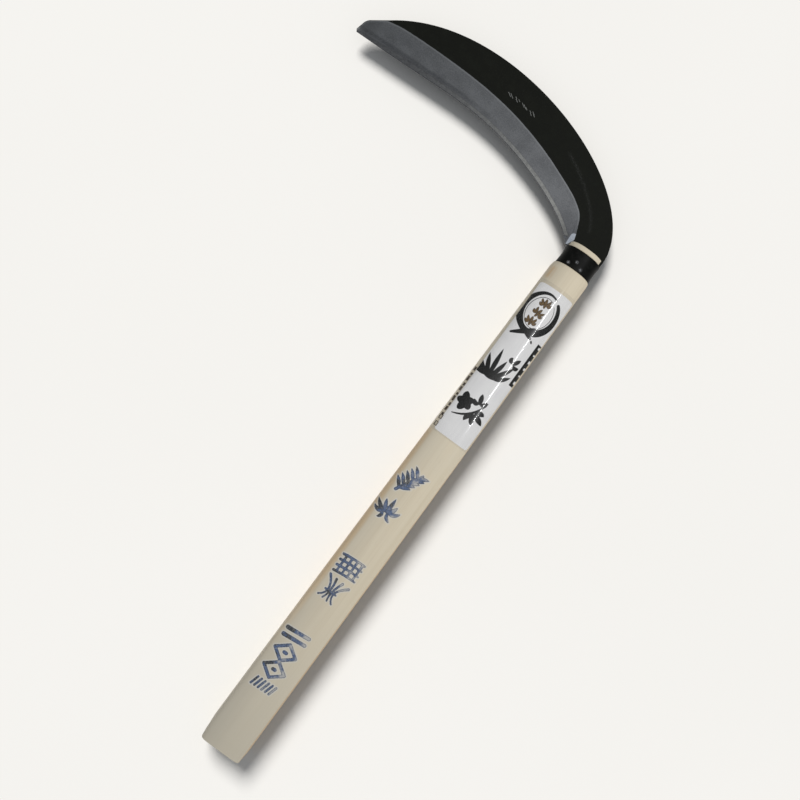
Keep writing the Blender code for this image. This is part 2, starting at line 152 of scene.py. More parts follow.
# Pairs of share of the blade's length and width in millimetres
BEVEL_WIDTHS = (
    (0.00, 15.8), (0.08, 15.8), (0.13, 17.1), (0.20, 17.4), (0.32, 17.0),
    (0.50, 16.3), (0.75, 16.0), (0.87, 16.1), (0.94, 9.9), (1.00, 4.0),
)
STEEL_WIDTHS = ((0.00, 1.5), (0.18, 3.0), (0.45, 2.5), (0.97, 3.0))
STEEL_SHARE = 0.25
STEEL_SCARF = 0.5 * MM
STEEL_SCARF_SHARE = 0.25
STEEL_END = 0.970
HEEL_GAP = 0.002
WELD_GAP = 0.12 * MM

# Blade mesh
BLADE_STATIONS = 300
HEEL_STATIONS = 24
# Steps along each side of the blade's section, from the edge's back round to its front
SECTION_STEPS = (10, 2, 3, 2, 34, 30, 2)
FRONT_SIDE = 4  # the section's side that is the blade's black front
STEEL_STEPS = (6, 2, 8, 1)
BACK_BEVEL = 5 * MM  # how far the back is whetted in from the edge, near the tip
BACK_BEVEL_POWER = 4  # at which that narrows to nothing along the blade's length
BACK_SKIN = 0.01 * MM  # a point no higher than this over the back lies on it
TANG_SKIN = 0.05 * MM  # and one no higher than this over the tang's top belongs to the tang
POINTS_AT_ONCE = 4000  # matched with the blade's sections in one go

# Tang
TANG_TOP = FERRULE_END + CLEARANCE
TANG_SIDES_AT_TOP = (-8.6 * MM, 6.6 * MM)
TANG_SIDES_AT_HOOK = (-3.6 * MM, 4.4 * MM)
HOOK_START = 309.6 * MM
HOOK_RADIUS = 2.6 * MM
HOOK_DROP = 4.6 * MM
HOOK_STEPS = 12

# Marks of making on the blade: strokes are control points of x, y and width, in millimetres
NECK_RIDGE = ((-42.0, 406.6, 0.0), (-27.0, 399.6, 0.0), (-9.0, 387.6, 0.0), (-5.0, 375.6, 0.0))
NECK_RIDGE_HEIGHT = 0.12 * MM
NECK_RIDGE_WIDTH = 0.9 * MM
HAMMER_DEPTH = 0.006 * MM
HAMMER_WAVES = ((4.1, 6.3, 0.0), (7.7, -3.7, 1.0), (2.9, 9.1, 2.0))  # lengths in x and y, shift
STAMP_PLACES = ((-90.8, 413.9), (-86.0, 413.9), (-80.0, 413.3), (-74.2, 412.4))  # group centres
STAMP_TICKS = (  # in each group: x, y and length, about the group's centre
    ((-0.9, 0.0, 3.2), (0.7, 0.1, 3.4)),
    ((-1.2, 0.7, 1.6), (0.0, -0.5, 2.4), (1.2, 0.4, 1.8)),
    ((-1.3, 0.2, 3.0), (0.1, 0.0, 3.4), (1.5, -0.4, 2.2)),
    ((-1.4, 0.5, 1.8), (-0.2, -0.7, 1.8), (0.8, 0.7, 2.4), (1.9, -0.3, 1.8)),
)
STAMP_REACH = 4.0  # no tick reaches further than this from its group's centre
STAMP_TURN = math.radians(-32)
STAMP_WIDTH = 0.34 * MM
STAMP_DEPTH = 0.10 * MM
STAMP_FLOOR = (0.6, 1.6)  # a floor lies between these, in stamp depths
# Ground spots at the heel, whose bright bluish colour is a painted reflection
HEEL_GLINT_FACETS = (
    ((-11.7, 362.2, 0.8), (-11.1, 365.2, 2.8), (-10.7, 368.0, 3.6)),
    ((-8.8, 366.8, 1.0), (-9.3, 370.6, 0.8), (-10.7, 375.4, 0.2)),
)
HEEL_SCRATCHES = (
    ((-12.6, 374.4, 0.3), (-10.6, 368.8, 0.3)),
    ((-13.4, 372.6, 0.3), (-12.0, 368.4, 0.3)),
    ((-12.2, 366.8, 0.3), (-9.4, 366.0, 0.3)),
)

# Looks: the bevel's colours at its tip and at its heel, and more
BEVEL_DARK = (0.080, 0.083, 0.086), (0.098, 0.100, 0.104)
BEVEL_LIGHT = (0.120, 0.124, 0.128), (0.144, 0.147, 0.152)
GOLD_OUTLINE = (0.020, 0.016, 0.012)
END_RINGS = (90.0, 2.0, 2.0, 3.0)  # the end grain's scale, distortion, detail and detail scale

# Label
PANEL_START, PANEL_END = (corner.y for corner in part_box("label_panel"))
PANEL_SIDES = (-10.8 * MM, 12.4 * MM)
PANEL_CORNER = 1.4 * MM
PANEL_LIFTS = (0.08 * MM, 0.20 * MM)  # the panel's back and front, out from the wood
PANEL_COLUMNS = (26, 104)
PANEL_ROWS = 420
FILM_START, FILM_END = (corner.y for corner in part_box("label_film"))
FILM_LIFT = 0.30 * MM
FILM_THICKNESS = 0.10 * MM
FILM_ROWS = 160
# Print, in millimetres
SIDE_BOX = ((9.6, 272.8), (13.0, 302.4))  # the black box on the label's right: low and high corner
SIDE_BOX_GAPS = 6
SIDE_BOX_GAP_START = 0.6  # where a gap stands in its share of the box's height
SIDE_BOX_GAP_HALVES = (0.95, 0.5, 0.75)  # half heights of the gaps, in turn
SIDE_BOX_SOLID = 1.7  # how wide the box's unbroken left part is
DASH_LEFT = -12.35
DASH_SHIFT = 0.2  # every other dash stands this much further in
DASH_WIDTH = 1.15
DASH_TOP = 270.6
DASH_LENGTHS = (2.6, 1.5, 3.2, 1.9)
DASH_GAPS = (1.7, 0.9)
DASH_COUNT = 10
DASH_MESH = (5, (6, 6))  # rows, and columns at the back and at the front
SQUARE_TOPS = (236.0, 231.2)
SQUARE_SIZE = (1.9, 2.8)
SQUARE_LINE = 0.35
INK_LIFTS = (0.18 * MM, 0.22 * MM)  # the back and the front of the ink printed inside the film

# The label's brush ring: where its gap is, how far round it goes, and (share, width) pairs
RING_START = math.radians(68)
RING_REACH = 0.95
RING_WEIGHTS = (
    (0.0, 1.0), (0.08, 1.6), (0.25, 3.0), (0.42, 3.9), (0.50, 3.4),
    (0.62, 4.3), (0.80, 3.2), (0.93, 2.2), (1.0, 1.0),
)
RING_LINE = ((0.0, 0.35), (1.0, 0.35))

# Camera and light
CAMERA_PLACE = (-36.4 * MM, 228.1 * MM, 503.0 * MM)
CAMERA_TURN = math.radians(36.3)
CAMERA_LENS = 37.9
CAMERA_SENSOR = 36.0
WORLD_COLOR = (0.955, 1.01, 1.09, 1.0)
WORLD_STRENGTH = 0.287
KEY_PLACE = (-0.6, 0.4, 0.8)
KEY_ROTATION = (0.0, math.radians(-43.5), math.radians(-48))
KEY_STRENGTH = 3.72
KEY_ANGLE = math.radians(23)
FILL_PLACE = (0.0, 0.0, 1.0)
FILL_STRENGTH = 0.32
FILL_ANGLE = math.radians(150)
STRIP_PLACE = (0.22, 0.406, 1.0)
STRIP_ROTATION = (0.0, math.radians(12.5), 0.0)
STRIP_SIZE = (0.026, 0.28)
STRIP_POWER = 5.6
FLOOR_SIDE = 6.0


# Curves and tables


def between(start, end, share):
    return start + (end - start) * share


def ease(share):
    share = np.clip(share, 0.0, 1.0)
    return share * share * (3 - 2 * share)


def rounded(share):
    """How far a unit quarter circle has fallen back at this share of the way out from its top."""
    return 1 - math.sqrt(1 - share * share)


def bezier(controls, shares):
    """The points at these shares of a Bezier curve of any degree, in any number of dimensions."""
    points = np.array(controls, float)[:, None, :]
    shares = np.asarray(shares, float)[None, :, None]
    while len(points) > 1:
        points = between(points[:-1], points[1:], shares)
    return points[0]


def points_along(points, shares):
    """The points at these shares of a polyline's length."""
    steps = np.linalg.norm(np.diff(points, axis=0), axis=1)
    lengths = np.concatenate([[0.0], np.cumsum(steps)])
    wanted = np.asarray(shares) * lengths[-1]
    return np.stack([np.interp(wanted, lengths, column) for column in points.T], -1)


def along_curves(curves, shares):
    """The points, in metres, at these shares of Bezier curves joined end to end."""
    fine = np.concatenate([bezier(curve, np.linspace(0, 1, CURVE_POINTS)) for curve in curves])
    return points_along(fine, shares) * MM


def read_table(table, wanted):
    """Smooth values between a table's (place, value) pairs: Catmull-Rom slopes, held at the ends."""
    places, values = np.array(table).T
    slopes = np.gradient(values, places, edge_order=1)
    slopes[1:-1] = (values[2:] - values[:-2]) / (places[2:] - places[:-2])
    wanted = np.clip(wanted, places[0], places[-1])
    i = np.clip(np.searchsorted(places, wanted, side="right") - 1, 0, len(places) - 2)
    span = places[i + 1] - places[i]
    t = (wanted - places[i]) / span
    swing = t * (1 - t) * (slopes[i] * (1 - t) - slopes[i + 1] * t)
    return between(values[i], values[i + 1], ease(t)) + span * swing


# Meshes


def build_mesh(name, rings, material, tube=False):
    """An object whose skin joins rings that all have the same number of points.

    The first and the last ring are filled, or in a tube the last ring joins the first.
    """
    rings = np.array(rings)
    index = np.arange(rings.shape[0] * rings.shape[1]).reshape(rings.shape[:2])
    ends = [] if tube else [index[0][::-1].tolist(), index[-1].tolist()]
    if tube:
        index = np.concatenate([index, index[:1]])
    ahead = np.roll(index, -1, axis=1)
    quads = np.stack([index[:-1], ahead[:-1], ahead[1:], index[1:]], -1).reshape(-1, 4)
    mesh = bpy.data.meshes.new(name)
    mesh.from_pydata(rings.reshape(-1, 3).tolist(), [], quads.tolist() + ends)
    skin = bmesh.new()
    skin.from_mesh(mesh)
    bmesh.ops.recalc_face_normals(skin, faces=skin.faces)
    skin.to_mesh(mesh)
    skin.free()
    mesh.shade_smooth()
    mesh.set_sharp_from_angle(angle=SHARP_ANGLE)
    mesh.materials.append(material)
    obj = bpy.data.objects.new(name, mesh)
    bpy.context.scene.collection.objects.link(obj)
    return obj


def box_cutter(low, high):
    low, high = np.array(low), np.array(high)
    bpy.ops.mesh.primitive_cube_add(size=1.0, location=(low + high) / 2, scale=high - low)
    return bpy.context.object


def drill(x, y, radius, floor):
    """A round cutter along Z, from its floor to well above the handle."""
    top = 2 * BUTT_HALF_WIDTH
    size = {"vertices": DRILL_SIDES, "radius": radius, "depth": top - floor}
    bpy.ops.mesh.primitive_cylinder_add(location=(x, y, (floor + top) / 2), **size)
    return bpy.context.object


def cut(obj, cutters):
    """Cuts the cutters out of the mesh for good, and removes them."""
    for cutter in cutters:
        modifier = obj.modifiers.new("cut", "BOOLEAN")
        modifier.operation = "DIFFERENCE"
        modifier.object = cutter
    bpy.context.view_layer.update()
    graph = bpy.context.evaluated_depsgraph_get()
    mesh = bpy.data.meshes.new_from_object(obj.evaluated_get(graph))
    obj.modifiers.clear()
    obj.data = mesh
    mesh.set_sharp_from_angle(angle=SHARP_ANGLE)
    for cutter in cutters:
        bpy.data.objects.remove(cutter, do_unlink=True)


def points_of(obj):
    points = np.empty(len(obj.data.vertices) * 3, np.float32)
    obj.data.vertices.foreach_get("co", points)
    return points.reshape(-1, 3).astype(float)


def store(obj, name, values):
    """Keeps one number for each vertex, which the material reads by this name."""
    attribute = obj.data.attributes.new(name, "FLOAT", "POINT")
    attribute.data.foreach_set("value", np.asarray(values, np.float32))


def finish_piece(obj, slot, *nodes):
    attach(obj, BODY)
    if nodes:
        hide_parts(*nodes)


# Sections of the handle and the ferrule. A size is half width, half depth and squareness.


def superellipse(angles, half_width, half_depth, squareness):
    waves = np.stack([np.cos(angles), np.sin(angles)], -1)
    return (half_width, half_depth) * np.sign(waves) * np.abs(waves) ** (2 / squareness)


def quarter(size, steps):
    """A quarter of a section, from its right side to its front, in even steps."""
    fine = superellipse(np.linspace(0, TURN / 4, QUARTER_POINTS), *size)
    return points_along(fine, np.linspace(0, 1, steps + 1))


def stand_at(y, centre_x, outline):
    """An outline of (x, z) points, set at its place along the handle."""
    x, z = outline.T
    return np.stack([x + centre_x, np.full(len(x), y), z], -1)


def section(y, size, centre_x):
    """A ring all round the handle: right side, front, left side, back."""
    front, back = quarter(size, FRONT_STEPS), quarter(size, BACK_STEPS)
    right_left = [front[:-1], front[:0:-1] * (-1, 1)]
    left_right = [back[:-1] * (-1, -1), back[:0:-1] * (1, -1)]
    return stand_at(y, centre_x, np.concatenate(right_left + left_right))


def front_strip(y, lift, columns, sides):
    """Points across the handle's front between two sides, evenly spaced and lifted off the wood."""
    centre_x, size = handle_centre(y), handle_size(y, lift)
    places = [(side - centre_x) / size[0] for side in sides]
    left, right = (math.acos(math.copysign(abs(x) ** (size[2] / 2), x)) for x in places)
    fine = superellipse(np.linspace(left, right, STRIP_POINTS), *size)
    return stand_at(y, centre_x, points_along(fine, np.linspace(0, 1, columns + 1)))


def front_sheet(name, places, sides_at, lifts, columns, material):
    """A thin sheet on the handle's front, between a back and a front that lie at these lifts."""
    rings = []
    for y in places:
        back, front = (front_strip(y, *step, sides_at(y)) for step in zip(lifts, columns))
        rings.append(np.concatenate([front, back[::-1]]))
    return build_mesh(name, rings, material)


def handle_centre(y):
    """Where the handle's centre line stands at this place, up to the shoulder."""
    return LEAN * y / SHOULDER_START


def handle_size(y, growth=0.0):
    """The size of the handle, grown by this much, up to its shoulder."""
    share = y / SHOULDER_START
    half_width = between(BUTT_HALF_WIDTH, HEAD_HALF_WIDTH, max(share, 0) ** TAPER_POWER)
    easing = BUTT_EASING_DEPTH * (1 - ease(y / BUTT_EASING_LENGTH))
    squareness = between(BUTT_SQUARENESS, HEAD_SQUARENESS, ease(share))
    return half_width - easing + growth, HANDLE_HALF_DEPTH - easing / 2 + growth, squareness


def ferrule_size(y, depth=0.0):
    """The ferrule is drawn in a little at its middle, and its seat runs straight on past its ends."""
    share = min(max((y - FERRULE_START) / (FERRULE_END - FERRULE_START), 0.0), 1.0)
    half_width = FERRULE_HALF_WIDTH - FERRULE_WAIST * math.sin(share * TURN / 2)
    return half_width - depth, FERRULE_HALF_DEPTH - depth, FERRULE_SQUARENESS


# Marks: strokes are Bezier curves of (x, y, width), in millimetres about the mark's centre


def stroke_distance(points, strokes, centre=(0.0, 0.0), turn=0.0, samples=9):
    """How far each point lies outside the nearest stroke, in metres, and negative inside one."""
    x, y = (points[:, :2] / MM - np.array(centre)).T
    cosine, sine = math.cos(turn), math.sin(turn)
    local = np.stack([x * cosine + y * sine, y * cosine - x * sine], -1)
    best = np.full(len(points), FAR / MM)
    for stroke in strokes:
        line = bezier(stroke, np.linspace(0, 1, samples))
        for start, end in zip(line, line[1:]):
            span = end[:2] - start[:2]
            share = np.clip(((local - start[:2]) @ span) / (span @ span), 0, 1)
            away = np.linalg.norm(local - start[:2] - share[:, None] * span, axis=1)
            best = np.minimum(best, away - between(start[2], end[2], share) / 2)
    return best * MM


def mark_distance(points, marks):
    """The distance to the nearest of several marks on the front, looked for only near each one."""
    best = np.full(len(points), FAR)
    for centre, strokes, turn in marks:
        near = np.linalg.norm(points[:, :2] / MM - np.array(centre), axis=1) < MARK_REACH
        near &= points[:, 2] > 0
        best[near] = np.minimum(best[near], stroke_distance(points[near], strokes, centre, turn))
    return best


def leaf(x, y, direction, length, width, curl=0.0):
    """A brushed leaf: it starts thin, swells and ends in a point."""
    along = np.array((math.cos(direction), math.sin(direction)))
    across = np.array((-along[1], along[0]))
    start = np.array((x, y))
    middle = start + along * length * 0.45 + across * curl
    end = start + along * length
    return ((*start, width * 0.3), (*middle, width * 1.9), (*end, width * 0.05))


def sprig(height, lean, pairs, grain_length, grain_width):
    """A stem of grain: a curved stalk with leaning grains on both sides."""
    stem = ((-lean, -height / 2, 2.0), (-lean * 0.2, 0.0, 1.8), (lean, height / 2, 1.3))
    strokes = [stem]
    for i in range(pairs):
        x, y, _ = bezier(stem, [0.1 + 0.85 * i / pairs])[0]
        for side in (-1, 1):
            direction = TURN / 4 - side * math.radians(52)
            strokes.append(leaf(x, y, direction, grain_length, grain_width, side * 0.8))
    return strokes


def tuft(leaves, spread, length, width, foot=1.5):
    """Leaves that fan out from one root."""
    strokes = []
    for i, share in enumerate(np.linspace(-1, 1, leaves)):
        reach = length * (1 - 0.25 * abs(share)) * (1.0 if i % 2 else 0.82)
        direction = TURN / 4 - share * spread
        strokes.append(leaf(share * foot, 0.0, direction, reach, width, -2.2 * share))
    return strokes


def blossom(petals, length, width):
    """Brushed petals all round a centre."""
    strokes = []
    for i in range(petals):
        direction = TURN * (i + 0.3) / petals
        strokes.append(leaf(0.0, 0.0, direction, length * (0.8 + 0.2 * (i % 2)), width, 0.5))
    return strokes


def lattice(width, height, across, along, line):
    """Woven cane: bars one way and the other, with rounded ends."""
    half, top = width / 2, height / 2
    rows = np.linspace(-top, top, across)
    columns = between(-half, half, (np.arange(along) + 0.5) / along)
    bars = [((-half, y - 0.5, line), (0, y + 0.4, line), (half, y, line * 0.7)) for y in rows]
    return bars + [((x, -top, line * 0.8), (x + 0.5, top, line)) for x in columns]


def sheaf(height, stalks, width, line):
    """A bound sheaf: stalks that cross at a band."""
    strokes = [((-width * 0.26, -1.6, line * 1.3), (width * 0.26, -1.0, line * 1.1))]
    for share in np.linspace(-1, 1, stalks):
        foot = (share * width * 0.36, -height / 2, line)
        waist = (-share * 1.5, -height * 0.1, line)
        head = (share * width * 0.5, height / 2, line * 1.5)
        strokes.append((foot, waist, head))
    return strokes


def lozenge_band(width, line):
    """Two bars, two diamonds with a dot in each, and a row of slanted dashes."""
    half = width / 2
    strokes = [((-half, y, line * 1.3), (half, y + 0.8, line * 1.1)) for y in (19.0, 14.4)]
    for y in (5.6, -6.2):
        corners = ((half, y), (0.0, y + 5.4), (-half, y), (0.0, y - 5.4))
        for start, end in zip(corners, corners[1:] + corners[:1]):
            strokes.append(((*start, line), (*end, line)))
        strokes.append(((-0.7, y, line * 1.1), (0.7, y, line * 1.1)))
    dashes = np.linspace(-half, half - 1.6, 6)
    return strokes + [((x, -20.0, line * 0.7), (x + 1.8, -14.6, line * 0.7)) for x in dashes]


def brush_ring(width, height, weights, pieces=18):
    """A ring drawn with one turn of a brush: weights are pairs of the turn's share and the width."""
    bulge = 1 / math.cos(TURN * RING_REACH / pieces / 2)
    strokes = []
    for i in range(pieces):
        arc = []
        for step, stretch in ((0.0, 1.0), (0.5, bulge), (1.0, 1.0)):
            share = (i + step) / pieces * RING_REACH
            angle = RING_START + TURN * share
            x, y = width / 2 * math.cos(angle), height / 2 * math.sin(angle)
            arc.append((x * stretch, y * stretch, float(read_table(weights, share))))
        strokes.append(arc)
    return strokes


def gold_leaves():
    """A tuft with a smaller one that hangs below it, each turned half round from the other."""
    small = tuft(3, 0.9, 2.6, 1.5, 0.7)
    hanging = [[(-x, 0.2 - y, width) for x, y, width in stroke] for stroke in small]
    return tuft(5, 1.2, 4.6, 1.7, 0.9) + hanging


# Marks: the place of the centre in millimetres, then the strokes and their turn
INK_MARKS = (
    ((-3.4, 192.4), sprig(17.0, 2.4, 5, 7.6, 2.3), -0.25),
    ((-4.6, 170.2), tuft(6, 1.25, 10.5, 2.5) + tuft(4, 2.6, 8.0, 2.2), 0.2),
    ((-2.2, 131.6), lattice(14.4, 11.0, 4, 4, 1.7), 0.04),
    ((-2.6, 115.0), sheaf(13.4, 4, 14.0, 1.1), -0.1),
    ((-2.8, 63.8), lozenge_band(14.2, 2.1), 0.04),
)
BLACK_MARKS = (
    ((-0.8, 317.1), brush_ring(20.6, 25.6, RING_WEIGHTS), 0.0),
    ((-0.8, 317.1), brush_ring(15.6, 20.2, RING_LINE), 0.0),
    ((-2.4, 303.0), [((-5.6, -4.0, 1.4), (0.0, 0.0, 3.6), (5.4, 4.0, 3.2))], 0.0),
    ((1.0, 302.4), [((-2.4, 1.6, 2.4), (0.0, 0.6, 3.2), (2.4, -0.6, 1.8))], 0.0),
    ((5.4, 300.4), [leaf(-0.6, 0.8, -0.9, 2.0, 1.1)], 0.0),
    ((-3.4, 269.8), tuft(7, 1.05, 18.4, 2.7, 2.4), 0.1),
    ((-2.8, 270.0), [((-5.4, 1.0, 0.6), (0.0, -2.6, 2.6), (7.6, 2.4, 0.5))], 0.0),
    ((4.6, 283.6), tuft(3, 0.90, 5.4, 2.4, 0.9), -0.5),
    ((-5.2, 250.0), blossom(5, 6.0, 4.4), 0.3),
    ((0.4, 249.0), [((-8.4, -8.6, 0.6), (3.6, -4.6, 2.4), (6.2, 7.4, 0.6))], 0.0),
    ((3.6, 246.6), tuft(4, 1.20, 8.4, 3.2, 0.8), -2.4),
    ((2.6, 253.4), tuft(3, 0.90, 6.4, 2.8, 0.7), 0.3),
)
GOLD_PLACES = (((-0.9, 323.0), 0.2), ((-1.5, 316.2), -0.3), ((-2.2, 310.0), 0.1))
GOLD_MARKS = tuple((place, gold_leaves(), turn) for place, turn in GOLD_PLACES)


# Materials


class Shader:
    """Short ways to lay out a material's nodes. Sizes are in metres, in the row frame."""

    def __init__(self, name):
        self.material = bpy.data.materials.new(name)
        self.material.use_nodes = True
        self.tree = self.material.node_tree
        self.place = self.node("TexCoord").outputs["Object"]
        self.x, self.y, _ = self.node("SeparateXYZ", self.place).outputs

    def node(self, kind, *inputs, **settings):
        node = self.tree.nodes.new("ShaderNode" + kind)
        for name, value in settings.items():
            setattr(node, name, value)
        for socket, value in zip(node.inputs, inputs):
            self.give(socket, value)
        return node

    def give(self, socket, value):
        if isinstance(value, bpy.types.NodeSocket):
            self.tree.links.new(value, socket)
        elif value is not None:
            socket.default_value = value

    def set(self, **values):
        """Sets the Principled shader's sockets, named with _ for a space."""
        for name, value in values.items():
            self.give(self.tree.nodes["Principled BSDF"].inputs[name.replace("_", " ")], value)

    def attribute(self, name):
        return self.node("Attribute", attribute_name=name).outputs["Fac"]

    def math(self, operation, *values):
        return self.node("Math", *values, operation=operation).outputs[0]

    def times(self, first, *others):
        for other in others:
            first = self.math("MULTIPLY", first, other)
        return first

    def plus(self, first, second, weight=1.0):
        """The first value, and the second one times its weight."""
        return self.math("MULTIPLY_ADD", second, weight, first)

    def away(self, value, middle):
        """How far a value is from a middle one."""
        return self.math("ABSOLUTE", self.math("SUBTRACT", value, middle))

    def noise(self, size, stretch=1.0, detail=3.0, roughness=0.5):
        """Noise with features about this size, stretched along the handle. Its middle is 0.5."""
        mapping = self.node("Mapping", self.place, None, None, (1, 1 / stretch, 1)).outputs[0]
        return self.node("TexNoise", mapping, None, 1 / size, detail, roughness).outputs["Fac"]

    def wander(self, size, reach):
        """Noise about zero, which roughens an edge that is drawn by a distance."""
        return self.times(self.math("SUBTRACT", self.noise(size), 0.5), reach)

    def fade(self, value, start, end, low=0.0, high=1.0):
        """Goes smoothly from low where the value is start to high where it is end."""
        inputs = (value, start, end, low, high)
        return self.node("MapRange", *inputs, interpolation_type="SMOOTHSTEP").outputs[0]

    def mix(self, share, first, second):
        """A colour between two colours, which are (red, green, blue) or another node's output."""
        colors = [(*color, 1.0) if isinstance(color, tuple) else color for color in (first, second)]
        return self.node("Mix", share, *[None] * 5, *colors, data_type="RGBA").outputs[2]

    def tones(self, value, start, end, first, second):
        return self.mix(self.fade(value, start, end), first, second)

    def layers(self, color, *coats):
        """A colour with coats over it, each one its share and its colour."""
        for share, coat in coats:
            color = self.mix(share, color, coat)
        return color

    def bump(self, height, distance, strength=1.0):
        bump = self.node("Bump", strength, distance)
        self.give(bump.inputs["Height"], height)
        self.set(Normal=bump.outputs[0])


def wood_material():
    wood = Shader("pale_wood")
    bands = wood.noise(5.5 * MM, 40, detail=2.0)
    grain = wood.noise(0.9 * MM, 60, detail=4.0, roughness=0.6)
    pores = wood.noise(0.35 * MM, 22, detail=2.0)
    blotches = wood.noise(18 * MM, 2.5)
    color = wood.layers(
        wood.tones(bands, 0.35, 0.68, (0.675, 0.590, 0.440), (0.640, 0.552, 0.403)),
        (wood.fade(grain, 0.45, 0.78, 0.0, 0.28), (0.54, 0.46, 0.325)),
        (wood.fade(blotches, 0.45, 0.75, 0.0, 0.3), (0.59, 0.55, 0.445)),
        (wood.fade(pores, 0.66, 0.8, 0.0, 0.22), (0.43, 0.345, 0.23)),
        *butt_tone_and_painted_side_shade(wood, blotches),
        *edge_coats(wood, bands, grain),
        end_grain_coat(wood),
        *ink_coats(wood),
    )
    roughness = wood.fade(grain, 0.3, 0.7, 0.52, 0.66)
    wood.set(Base_Color=color, Roughness=roughness, Specular_IOR_Level=0.3)
    wood.bump(wood.plus(grain, pores, -0.4), 0.03 * MM)
    return wood.material


def butt_tone_and_painted_side_shade(wood, blotches):
    """Darker and greyer towards the butt; painted shade darkens and greys the left side, which turns
    from the light.
    """
    toward_butt = wood.fade(wood.plus(wood.y, blotches, 60 * MM), 170 * MM, 20 * MM, 0.0, 0.75)
    # Painted shade down the handle's left side.
    left = wood.fade(wood.plus(wood.x, blotches, 8 * MM), 9 * MM, -9 * MM, 0.0, 0.42)
    return (toward_butt, (0.520, 0.475, 0.380)), (left, (0.400, 0.370, 0.305))


def edge_coats(wood, bands, grain):
    """Painted light on the left edge above the butt end, then a browner left side, a brown right edge, a
    resin streak.
    """
    above_hand = wood.fade(wood.y, 50 * MM, 130 * MM)
    below_label = wood.fade(wood.y, 230 * MM, 222 * MM)
    # Painted light: the left edge is made paler where the lamps leave it in shade.
    pale = wood.fade(wood.x, -10.6 * MM, -12.4 * MM, 0.0, 0.6)
    brown = wood.fade(wood.plus(wood.x, bands, -4 * MM), -11.0 * MM, -14.8 * MM, 0.0, 0.8)
    x, start, end = HEAD_STREAK
    streak = wood.times(
        wood.fade(wood.away(wood.x, x), 2.6 * MM, 0.4 * MM, 0.0, 0.75),
        wood.fade(wood.y, start, start + 3 * MM),
        wood.fade(wood.y, end, end - 3 * MM),
        wood.fade(grain, 0.35, 0.6),
    )
    return (
        (wood.times(pale, above_hand), (0.80, 0.71, 0.55)),
        (wood.times(brown, above_hand, below_label), (0.54, 0.39, 0.225)),
        (wood.fade(wood.x, 12.8 * MM, 13.5 * MM, 0.0, 0.7), (0.50, 0.335, 0.17)),
        (streak, (0.52, 0.34, 0.17)),
    )


def end_grain_coat(wood):
    """Growth rings on the butt and in the head's end."""
    centre = wood.node("Mapping", wood.place, (18 * MM, 0, 25 * MM)).outputs[0]
    rings = wood.node("TexWave", centre, *END_RINGS, wave_type="RINGS", rings_direction="Y")
    normal = wood.node("NewGeometry").outputs["Normal"]
    facing = wood.away(wood.node("SeparateXYZ", normal).outputs[1], 0.0)
    color = wood.mix(rings.outputs["Fac"], (0.46, 0.38, 0.26), (0.56, 0.48, 0.35))
    return wood.fade(facing, 0.8, 0.95), color


def ink_coats(wood):
    """A pale rim, then ink pressed into the grain: patchy, and darker where it was pressed harder."""
    ink = wood.plus(wood.attribute("ink"), wood.wander(0.5 * MM, 0.5 * MM))
    press = wood.plus(wood.noise(5 * MM, detail=2.0), wood.fade(wood.x, 5 * MM, -9 * MM, -0.16, 0.16))
    outline = wood.fade(wood.away(ink, -0.2 * MM), 0.4 * MM, 0.1 * MM)
    body = wood.fade(press, 0.30, 0.50, 0.35, 0.96)
    strength = wood.math("MAXIMUM", body, wood.times(outline, 0.8))
    speckle = wood.fade(wood.noise(0.3 * MM, 4, detail=1.0), 0.30, 0.5, 0.78, 1.0)
    cover = wood.times(wood.fade(ink, 0.08 * MM, -0.08 * MM), strength, speckle)
    dark = wood.math("MAXIMUM", wood.fade(press, 0.56, 0.70), wood.times(outline, 0.55))
    color = wood.mix(dark, (0.056, 0.098, 0.200), (0.020, 0.026, 0.036))
    return (wood.fade(ink, 0.9 * MM, 0.25 * MM, 0.0, 0.5), (0.60, 0.60, 0.58)), (cover, color)


def ferrule_material():
    black = Shader("blacked_steel")
    smudges = black.noise(2.2 * MM, detail=4.0, roughness=0.6)
    fine = black.noise(0.3 * MM)
    color = black.tones(smudges, 0.45, 0.75, (0.0045, 0.0046, 0.0039), (0.0090, 0.0093, 0.0082))
    # Grey in the crimp dents: worn paint, and painted glints where the dents catch the light.
    dent_wear_and_glint = black.times(black.attribute("dent"), black.fade(fine, 0.40, 0.60))
    black.set(
        Base_Color=black.mix(dent_wear_and_glint, color, (0.34, 0.34, 0.35)),
        Roughness=black.fade(smudges, 0.35, 0.7, 0.36, 0.48),
        Specular_IOR_Level=0.05,
    )
    black.bump(black.plus(smudges, fine, 0.3), 0.03 * MM)
    return black.material


def blade_material():
    """Forge-black scale, and the ground bevel where the ground distance is positive."""
    blade = Shader("forged_blade")
    ground = blade.plus(blade.attribute("ground"), blade.wander(1.6 * MM, 0.5 * MM))
    share = blade.fade(ground, -0.12 * MM, 0.12 * MM)
    patches = blade.noise(7 * MM, detail=4.0, roughness=0.62)
    grit = blade.noise(0.5 * MM, roughness=0.65)
    scale_roughness = blade.fade(patches, 0.3, 0.7, 0.58, 0.70)
    blade.set(
        Base_Color=blade.mix(share, scale_color(blade, patches, grit), bevel_color(blade, grit)),
        Metallic=blade.times(share, 0.55),
        Roughness=blade.node("Mix", share, None, scale_roughness, 0.5).outputs[0],
        Specular_IOR_Level=0.06,
    )
    blade.bump(blade.plus(patches, grit, 0.25), 0.05 * MM, 0.7)
    return blade.material


